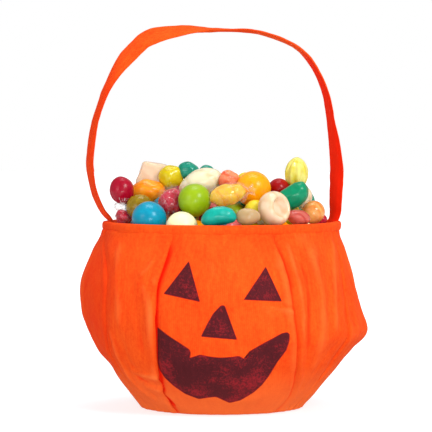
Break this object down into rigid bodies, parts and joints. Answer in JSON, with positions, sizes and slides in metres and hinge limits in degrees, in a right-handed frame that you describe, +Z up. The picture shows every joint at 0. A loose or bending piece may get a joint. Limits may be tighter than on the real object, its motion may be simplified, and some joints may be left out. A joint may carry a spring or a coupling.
{
  "type": "pumpkin candy basket",
  "caption": "Soft cloth candy basket shaped like a ribbed pumpkin with a printed face, a twisted strap handle and a heap of mixed sweets.",
  "frame": {"origin": "centre of the base where the bag stands, the middle of the whole part's box", "axes": "+Z up, the printed face looks along -Y, +X to the right of someone who looks at the face"},
  "size_m": [0.2, 0.1999, 0.2687],
  "materials": {
    "orange_fabric": "brushed felt-like cloth, matt",
    "maroon_print": "speckled fabric print, matt",
    "hoop_plastic": "plain",
    "buried_sweets": "glossy boiled sugar",
    "red_sweet": "glossy sugar shell",
    "blue_sweet": "glossy sugar shell",
    "cream_sweet": "glossy sugar shell",
    "teal_sweet": "glossy jelly",
    "tan_sweet": "translucent jelly",
    "ivory_sweet": "translucent boiled sugar",
    "rose_sweet": "streaked boiled sugar",
    "orange_sweet": "glossy sugar shell",
    "amber_sweet": "translucent boiled sugar",
    "olive_sweet": "translucent boiled sugar",
    "lime_sweet": "glossy sugar shell",
    "yellow_sweet": "glossy jelly",
    "emerald_sweet": "glossy sugar shell",
    "lemon_sweet": "translucent boiled sugar",
    "peach_sweet": "translucent jelly",
    "salmon_sweet": "glossy jelly"
  },
  "bodies": {
    "bag": {"front_panel": "orange_fabric", "front_right_panel": "orange_fabric", "right_panel": "orange_fabric", "back_right_panel": "orange_fabric", "back_panel": "orange_fabric", "back_left_panel": "orange_fabric", "left_panel": "orange_fabric", "front_left_panel": "orange_fabric", "base_panel": "orange_fabric", "rim_band": "orange_fabric", "rim_hoop": "hoop_plastic", "handle_tab_left": "orange_fabric", "handle_tab_right": "orange_fabric", "left_eye": "maroon_print", "right_eye": "maroon_print", "nose": "maroon_print", "mouth": "maroon_print", "buried_candy": "buried_sweets", "red_wrapped_sweet": "red_sweet", "blue_gumball": "blue_sweet", "cream_gumball": "cream_sweet", "teal_jelly_bean": "teal_sweet", "tan_fruit_drop": "tan_sweet", "rose_streaked_sweet": "rose_sweet", "amber_ball": "amber_sweet", "small_red_drop": "red_sweet", "emerald_gumball": "emerald_sweet", "lemon_gumball": "lemon_sweet", "red_gumball": "red_sweet", "amber_hard_sweet": "amber_sweet", "lime_jelly_bean": "lime_sweet", "salmon_gumball": "salmon_sweet", "blue_back_gumball": "blue_sweet", "lime_gumball": "lime_sweet", "yellow_ball": "yellow_sweet", "olive_fruit_disc": "olive_sweet", "red_ball": "red_sweet", "orange_gumball": "orange_sweet", "peach_wrapped_sweet": "peach_sweet", "teal_gumball": "teal_sweet", "yellow_gumball": "yellow_sweet", "rose_jelly_bean": "rose_sweet", "orange_fruit_jelly": "amber_sweet", "lime_fruit_drop": "lime_sweet", "ivory_fruit_oval": "ivory_sweet", "salmon_fruit_drop": "salmon_sweet", "dark_red_drop": "red_sweet", "amber_fruit_jelly": "amber_sweet", "ivory_gumball": "cream_sweet", "yellow_fruit_jelly": "yellow_sweet", "peach_gumdrop": "peach_sweet", "teal_fruit_drop": "teal_sweet", "small_teal_drop": "teal_sweet"},
    "handle": {"handle_strap": "orange_fabric"},
    "loose_ivory_sweet": {"ivory_hard_sweet": "ivory_sweet"},
    "loose_emerald_bean": {"emerald_jelly_bean": "emerald_sweet"},
    "loose_lemon_drop": {"lemon_drop": "lemon_sweet"},
    "loose_rose_sweet": {"rose_wrapped_sweet": "red_sweet"},
    "loose_yellow_sweet": {"yellow_wrapped_sweet": "yellow_sweet"}
  },
  "joints": [
    {"name": "handle_swing", "type": "hinge", "parent": "bag", "child": "handle", "pos_m": [0, 0, 0.14], "axis": [1, 0, 0], "range_deg": [-90, 90]},
    {"name": "lift_ivory_sweet", "type": "slide", "parent": "bag", "child": "loose_ivory_sweet", "axis": [0, 0, 1], "range_m": [0, 0.06]},
    {"name": "lift_emerald_bean", "type": "slide", "parent": "bag", "child": "loose_emerald_bean", "axis": [0, 0, 1], "range_m": [0, 0.06]},
    {"name": "lift_lemon_drop", "type": "slide", "parent": "bag", "child": "loose_lemon_drop", "axis": [0, 0, 1], "range_m": [0, 0.06]},
    {"name": "lift_rose_sweet", "type": "slide", "parent": "bag", "child": "loose_rose_sweet", "axis": [0, 0, 1], "range_m": [0, 0.06]},
    {"name": "lift_yellow_sweet", "type": "slide", "parent": "bag", "child": "loose_yellow_sweet", "axis": [0, 0, 1], "range_m": [0, 0.06]}
  ]
}
